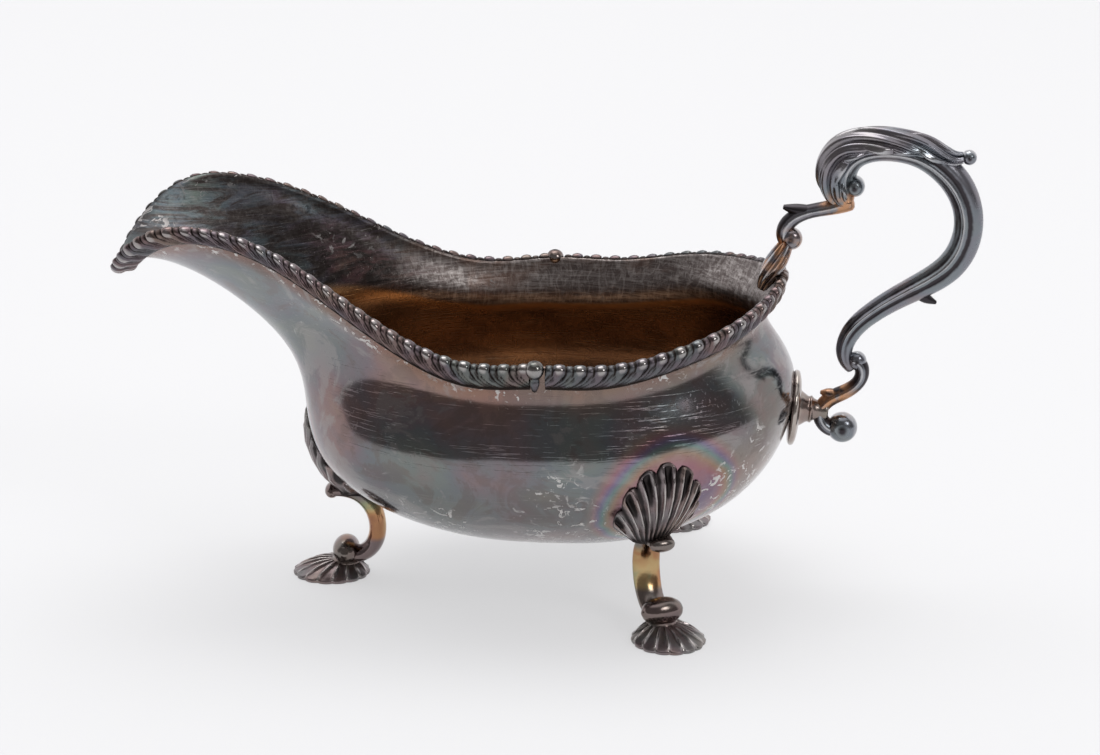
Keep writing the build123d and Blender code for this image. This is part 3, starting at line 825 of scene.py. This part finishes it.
def outer_skin(t, place, film, cloud, wear):
    """Outside of the bowl: brown-grey film, copper under the border, pale flecks low down and behind."""
    x, y, z = (t.add("SeparateXYZ", {0: place}).outputs[i] for i in range(3))
    below = t.attribute("below_rim")
    plain = t.mix(t.step(cloud, 0.35, 0.65), (0.265, 0.225, 0.205), (0.185, 0.185, 0.198))
    colour = t.mix(0.58, t.use(FILM, {"Thickness": film}).outputs["Colour"], plain)
    low = t.step(z, 0.050, 0.024)
    colour = t.mix(t.math("MULTIPLY", low, 0.45), colour, (0.225, 0.215, 0.215))
    rear = t.math("MULTIPLY", t.step(x, 0.015, 0.055), t.step(z, 0.066, 0.040))
    colour = t.mix(t.math("MULTIPLY", rear, 0.55), colour, (0.30, 0.215, 0.185))
    under = t.step(below, 0.0150, 0.0070)
    colour = t.mix(t.math("MULTIPLY", under, 0.55), colour, (0.25, 0.13, 0.085))
    stain = t.noise(place, 46.0, 5.0, 0.68, 1.8)
    colour = t.mix(t.math("MULTIPLY", t.step(stain, 0.54, 0.60), 0.50), colour, (0.30, 0.285, 0.28))
    colour = t.mix(t.math("MULTIPLY", t.step(stain, 0.46, 0.40), 0.40), colour, (0.15, 0.115, 0.105))
    halo = None
    for sx, sy, sz in ((0.0315, 0.0370, 0.0370), (-0.0570, 0.0, 0.0370)):
        either_side = t.math("MULTIPLY", t.math("SIGN", y), sy)
        shell_spot = t.add("CombineXYZ", {0: sx, 1: either_side, 2: sz}).outputs[0]
        away = t.add("VectorMath", {0: place, 1: shell_spot}, operation="DISTANCE").outputs["Value"]
        near = t.step(away, 0.024, 0.012)
        halo = near if halo is None else t.math("MAXIMUM", halo, near)
    rainbow = t.ramp(t.math("FRACT", t.math("ADD", t.math("MULTIPLY", halo, 1.7), film)), [
        (0.00, (0.40, 0.24, 0.13)), (0.25, (0.40, 0.13, 0.17)), (0.50, (0.17, 0.14, 0.32)),
        (0.72, (0.12, 0.30, 0.27)), (1.00, (0.40, 0.24, 0.13)),
    ])
    colour = t.mix(t.math("MULTIPLY", t.step(halo, 0.05, 0.6), 0.45), colour, rainbow)
    amount = t.math("ADD", t.math("MULTIPLY", low, 0.20), t.math("MULTIPLY", under, 0.22))
    amount = t.math("ADD", amount, t.math("MULTIPLY", rear, 0.10))
    flecks = t.use(FLECKS, {"Place": place, "Amount": t.math("ADD", amount, 0.02)}).outputs["Mask"]
    colour = t.mix(flecks, colour, (0.60, 0.585, 0.57))
    colour = t.mix(t.math("MULTIPLY", wear, 0.09), colour, (0.42, 0.40, 0.39))
    return colour, flecks, under


def inner_skin(t, place, film, cloud, patch):
    """Inside of the bowl: gilt wash up to the waist, a bright edge line, then worn, scratched silver, turning
    dark towards the spout with tarnish film and painted shade.
    """
    x = t.add("SeparateXYZ", {0: place}).outputs[0]
    rise = t.attribute("above_waist")
    waver = t.math("SUBTRACT", t.noise(place, 34.0, 2.0, 0.5), 0.5)
    rise = t.math("ADD", rise, t.math("MULTIPLY", waver, 0.005))
    gilt = t.step(rise, 0.0012, -0.0010)
    line = t.math("MULTIPLY", t.step(rise, -0.0050, -0.0012), gilt)
    cross = t.noise(t.stretched(place, (620.0, 620.0, 190.0)), 1.0, 4.0, 0.7, 1.2)
    along = t.noise(t.stretched(place, (120.0, 260.0, 1500.0)), 1.0, 4.0, 0.7, 0.6)
    rubbed = t.math("MULTIPLY", t.math("ADD", t.step(cross, 0.44, 0.66), t.step(along, 0.42, 0.66)), 0.5)
    band = t.mix(rubbed, (0.140, 0.115, 0.108), (0.52, 0.48, 0.46))
    band = t.mix(t.math("MULTIPLY", t.step(patch, 0.48, 0.62), 0.45), band, (0.22, 0.13, 0.095))
    tint = t.use(FILM, {"Thickness": t.math("MULTIPLY", film, 0.95)}).outputs["Colour"]
    # Towards the spout: tarnish film with dark streaks, darkened partly as painted shade for the dark
    # surroundings seen there.
    spout_film_and_shade = t.mix(0.60, tint, (0.060, 0.050, 0.048))
    streak = t.noise(t.stretched(place, (40.0, 60.0, 260.0)), 1.0, 5.0, 0.7, 1.5)
    spout_film_and_shade = t.mix(t.step(streak, 0.42, 0.62), (0.035, 0.028, 0.026), spout_film_and_shade)
    spout_film_and_shade = t.mix(t.math("MULTIPLY", rubbed, 0.22), spout_film_and_shade, (0.26, 0.24, 0.23))
    band = t.mix(t.step(x, -0.022, -0.050), band, spout_film_and_shade)
    band = t.mix(t.use(FLECKS, {"Place": place, "Amount": 0.15}).outputs["Mask"], band, (0.44, 0.42, 0.41))
    wash = t.mix(t.step(cloud, 0.35, 0.7), (0.30, 0.190, 0.115), (0.48, 0.310, 0.185))
    wash = t.mix(t.math("MULTIPLY", t.step(patch, 0.42, 0.60), 0.7), wash, (0.150, 0.100, 0.075))
    wash = t.mix(line, wash, (0.56, 0.31, 0.14))
    return t.mix(gilt, band, wash)


def bowl_finish(t, place):
    """Tarnished outside and gilt inside, told apart by the wall's own inside value."""
    inside = t.step(t.attribute("inside"), 0.4, 0.6)
    worn = t.use(WEAR, {"Place": place})
    cloud = t.noise(place, 15.0, 4.0, 0.55, 0.9)
    patch = t.noise(t.stretched(place, (30.0, 30.0, 55.0), (3.1, 0.4, 1.7)), 1.0, 4.0, 0.6, 0.5)
    film = t.math("ADD", t.math("MULTIPLY", cloud, 1.35), t.math("MULTIPLY", patch, 0.75))
    film = t.math("SUBTRACT", film, 0.42)
    outer, flecks, under = outer_skin(t, place, film, cloud, worn.outputs["Hair"])
    inner = inner_skin(t, place, film, cloud, patch)
    colour = t.mix(inside, outer, inner)
    grain = t.noise(place, 900.0, 3.0, 0.7)
    rough = t.math("ADD", 0.13, t.math("MULTIPLY", worn.outputs["Hair"], 0.10))
    rough = t.math("ADD", rough, t.math("MULTIPLY", flecks, 0.25))
    rough = t.math("ADD", rough, t.math("MULTIPLY", under, 0.14))
    rough = t.math("ADD", rough, t.math("MULTIPLY", inside, 0.13), clamp=True)
    pits = t.math("MULTIPLY", t.math("MULTIPLY", grain, inside), 0.00006)
    height = t.math("ADD", worn.outputs["Height"], pits)
    return {"Base Color": colour, "Roughness": rough, "height": height}


def raised_finish(dirt, body, bright, rough_low, rough_high, film_share=0.3, low=0.15, high=0.85):
    """Finish for cast ornament: dirt in the hollows, rubbed bright on the high parts."""
    def build(t, place):
        raised = t.attribute("raised")
        grain = t.noise(place, 260.0, 4.0, 0.65)
        level = t.math("ADD", raised, t.math("MULTIPLY", t.math("SUBTRACT", grain, 0.5), 0.5))
        film = t.math("MULTIPLY", t.noise(place, 55.0, 3.0, 0.5, 0.6), 1.5)
        film = t.use(FILM, {"Thickness": t.math("SUBTRACT", film, 0.25)}).outputs["Colour"]
        colour = t.mix(film_share, body, film)
        colour = t.mix(t.step(level, low + 0.25, low - 0.05), colour, dirt)
        colour = t.mix(t.math("MULTIPLY", t.step(level, high - 0.12, high + 0.2), 0.8), colour, bright)
        rough = t.step(level, low, high, rough_low, rough_high)
        height = t.math("MULTIPLY", grain, 0.00010)
        return {"Base Color": colour, "Roughness": rough, "height": height}

    return build


def handle_finish(t, place):
    """Blue-grey film on the handle, with dirt in the grooves and copper showing at the joints."""
    dirt, body, bright = (0.05, 0.045, 0.05), (0.235, 0.245, 0.265), (0.50, 0.50, 0.51)
    made = raised_finish(dirt, body, bright, 0.34, 0.20, 0.20)(t, place)
    joint = None
    for jx, jz, size in ((0.0755, 0.1012, 0.0048), (0.0745, 0.0505, 0.0050), (0.0605, 0.0880, 0.0060)):
        away = t.add("VectorMath", {0: place, 1: (jx, 0.0, jz)}, operation="DISTANCE").outputs["Value"]
        near = t.step(away, size * 1.5, size * 0.5)
        joint = near if joint is None else t.math("MAXIMUM", joint, near)
    joint = t.math("MULTIPLY", joint, t.step(t.noise(place, 300.0, 3.0), 0.38, 0.6))
    made["Base Color"] = t.mix(joint, made["Base Color"], (0.50, 0.27, 0.15))
    return made


def leg_finish(t, place):
    """Golden film of patchy tone, turning dark grey low on the leg and near its top."""
    z = t.add("SeparateXYZ", {0: place}).outputs[2]
    tone = t.noise(place, 90.0, 3.0, 0.5, 0.5)
    colour = t.ramp(tone, [
        (0.30, (0.30, 0.14, 0.09)), (0.42, (0.42, 0.22, 0.11)), (0.52, (0.50, 0.36, 0.18)),
        (0.60, (0.30, 0.33, 0.20)), (0.70, (0.36, 0.28, 0.24)),
    ])
    dark = t.math("MAXIMUM", t.step(z, 0.0112, 0.0095), t.step(z, 0.0195, 0.0225))
    colour = t.mix(t.math("MULTIPLY", dark, 0.85), colour, (0.17, 0.15, 0.16))
    rough = t.step(tone, 0.3, 0.7, 0.14, 0.26)
    height = t.math("MULTIPLY", t.noise(place, 180.0, 3.0), 0.00015)
    return {"Base Color": colour, "Roughness": rough, "height": height}


BOWL = silver("tarnished bowl silver", bowl_finish)
BORDER = silver("border silver", raised_finish(
    (0.028, 0.022, 0.020), (0.135, 0.120, 0.118), (0.40, 0.38, 0.37), 0.42, 0.18, 0.3, 0.22, 0.86))
HANDLE = silver("handle silver", handle_finish)
SOCKET_SILVER = silver("socket silver", raised_finish(
    (0.10, 0.06, 0.04), (0.34, 0.27, 0.22), (0.50, 0.46, 0.42), 0.3, 0.2, 0.3))
SHELL = silver("shell silver", raised_finish(
    (0.035, 0.03, 0.03), (0.26, 0.225, 0.215), (0.52, 0.49, 0.47), 0.40, 0.2, 0.25, 0.12, 0.75))
LEG_SILVER = silver("golden leg silver", leg_finish)


# ---------------------------------------------------------------- assembly
def show(piece, slot, finish, *nodes):
    """Give a piece its finish and its place in the frame."""
    piece.data.materials.clear()
    piece.data.materials.append(finish)
    for polygon in piece.data.polygons:
        polygon.material_index = 0
    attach(piece, "root")
    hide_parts(*nodes)


wall_grid, wall_out, wall_level = wall()
bowl = make_bowl(wall_grid, wall_out, wall_level)
show(bowl, "bowl_plate", BOWL, "bowl")
bowl_points = [v.co.copy() for v in bowl.data.vertices]
walls = BVHTree.FromPolygons(bowl_points, [list(p.vertices) for p in bowl.data.polygons])

line = rim_line(wall_grid, wall_out)
bead_at = line[3][np.argmin(np.abs(line[0][:, 0] - RIM[CENTRE_STATION][0]))]
for side in ("near", "far"):
    back = border_strip("gadroon_back_" + side, line, 0.0, bead_at - 1.9, -1, side)
    ahead = border_strip("gadroon_front_" + side, line, bead_at + 1.9, line[3][-1], 1, side)
    show(back, "border_plate", BORDER, "border_back_" + side)
    show(ahead, "border_plate", BORDER, "border_front_" + side)
    show(centre_bead("centre_drop_" + side, side), "border_plate", BORDER, "centre_bead_" + side)

show(handle_scroll("scroll_handle"), "handle_plate", HANDLE, "handle_scroll")
show(leaf_cap("acanthus_cap"), "handle_plate", HANDLE, "handle_leaf_cap")
show(upper_bracket("upper_scroll_arm"), "handle_plate", HANDLE, "handle_upper_bracket")
show(rim_leaf("rim_clasp_leaf"), "handle_plate", HANDLE, "handle_rim_leaf")
show(lower_bracket("lower_scroll_arm"), "handle_plate", HANDLE, "handle_lower_bracket")
show(handle_neck("ringed_neck"), "socket_plate", SOCKET_SILVER, "handle_neck")
show(socket_disc("seat_disc"), "socket_plate", SOCKET_SILVER, "handle_socket_disc")

for foot, place in PLACES.items():
    lean = (0, 0) if foot == "front" else BACK_LEAN
    shell = knee_shell("fan_shell_" + foot, place, lean, SHELL_ASIDE[foot], walls)
    show(shell, "shell_plate", SHELL, "knee_shell_" + foot)
    show(foot_leg("scroll_leg_" + foot, place, lean), "leg_plate", LEG_SILVER, "leg_" + foot)
    show(foot_pad("scallop_pad_" + foot, place), "shell_plate", SHELL, "pad_" + foot)


# ---------------------------------------------------------------- stage, light and camera
def pale_floor():
    """A plain round floor."""
    bpy.ops.mesh.primitive_circle_add(vertices=128, radius=1.6, fill_type="NGON", location=(0, 0, 0))
    floor = bpy.context.object
    floor.name = "pale_floor"
    material = bpy.data.materials.new("pale paper")
    material.use_nodes = True
    shader = material.node_tree.nodes["Principled BSDF"]
    shader.inputs["Base Color"].default_value = (0.37, 0.37, 0.375, 1)
    shader.inputs["Roughness"].default_value = 0.9
    shader.inputs["Specular IOR Level"].default_value = 0.1
    floor.data.materials.append(material)


def studio():
    """Bright all round, with a darker stretch low in front, as behind the camera."""
    world = bpy.data.worlds.new("studio")
    bpy.context.scene.world = world
    world.use_nodes = True
    world.node_tree.nodes.clear()
    t = Tree(world.node_tree)
    way = t.add("TexCoord").outputs["Generated"]
    y, z = (t.add("SeparateXYZ", {0: way}).outputs[i] for i in (1, 2))
    front = t.step(y, 0.22, -0.10)
    low = t.math("MULTIPLY", t.step(z, 0.93, 0.78), t.step(z, -0.06, -0.02))
    share = t.math("MULTIPLY", front, low)
    colour = t.mix(share, (0.97, 0.96, 0.98), (0.20, 0.19, 0.19))
    back = t.add("Background", {"Color": colour, "Strength": 1.0})
    out = t.add("OutputWorld")
    t.put(out.inputs["Surface"], back.outputs[0])


def soft_box(name, place, aim, size, power, mirrored=True):
    """A rectangular soft light, seen in the silver or not."""
    data = bpy.data.lights.new(name, "AREA")
    data.shape = "RECTANGLE"
    data.size, data.size_y = size
    data.energy = power
    lamp = bpy.data.objects.new(name, data)
    bpy.context.collection.objects.link(lamp)
    lamp.visible_glossy = mirrored
    lamp.location = place
    lamp.rotation_mode = "QUATERNION"
    lamp.rotation_quaternion = (Vector(aim) - Vector(place)).to_track_quat("-Z", "Y")


def even_fill(name, strength):
    """Light straight down that lifts the shadows on the floor and is not seen in the silver."""
    data = bpy.data.lights.new(name, "SUN")
    data.energy = strength
    data.use_shadow = False
    lamp = bpy.data.objects.new(name, data)
    bpy.context.collection.objects.link(lamp)
    lamp.visible_glossy = False


pale_floor()
studio()
soft_box("overhead", (-0.15, 0.45, 1.5), (0, 0, 0.05), (1.1, 0.9), 9.0)
soft_box("front_right", (1.0, -0.95, 0.95), (0.02, 0, 0.05), (0.5, 0.45), 4.0)
even_fill("floor_fill", 4.7)

camera_data = bpy.data.cameras.new("camera")
camera_data.lens = 127.8
camera_data.sensor_width = 36.0
camera = bpy.data.objects.new("camera", camera_data)
bpy.context.collection.objects.link(camera)
camera.location = (0.051476, -0.949753, 0.363380)
camera.rotation_mode = "QUATERNION"
camera.rotation_quaternion = (Vector((0.0017, 0, 0.05436)) - camera.location).to_track_quat("-Z", "Y")
bpy.context.scene.camera = camera
bpy.context.scene.view_settings.view_transform = "Standard"
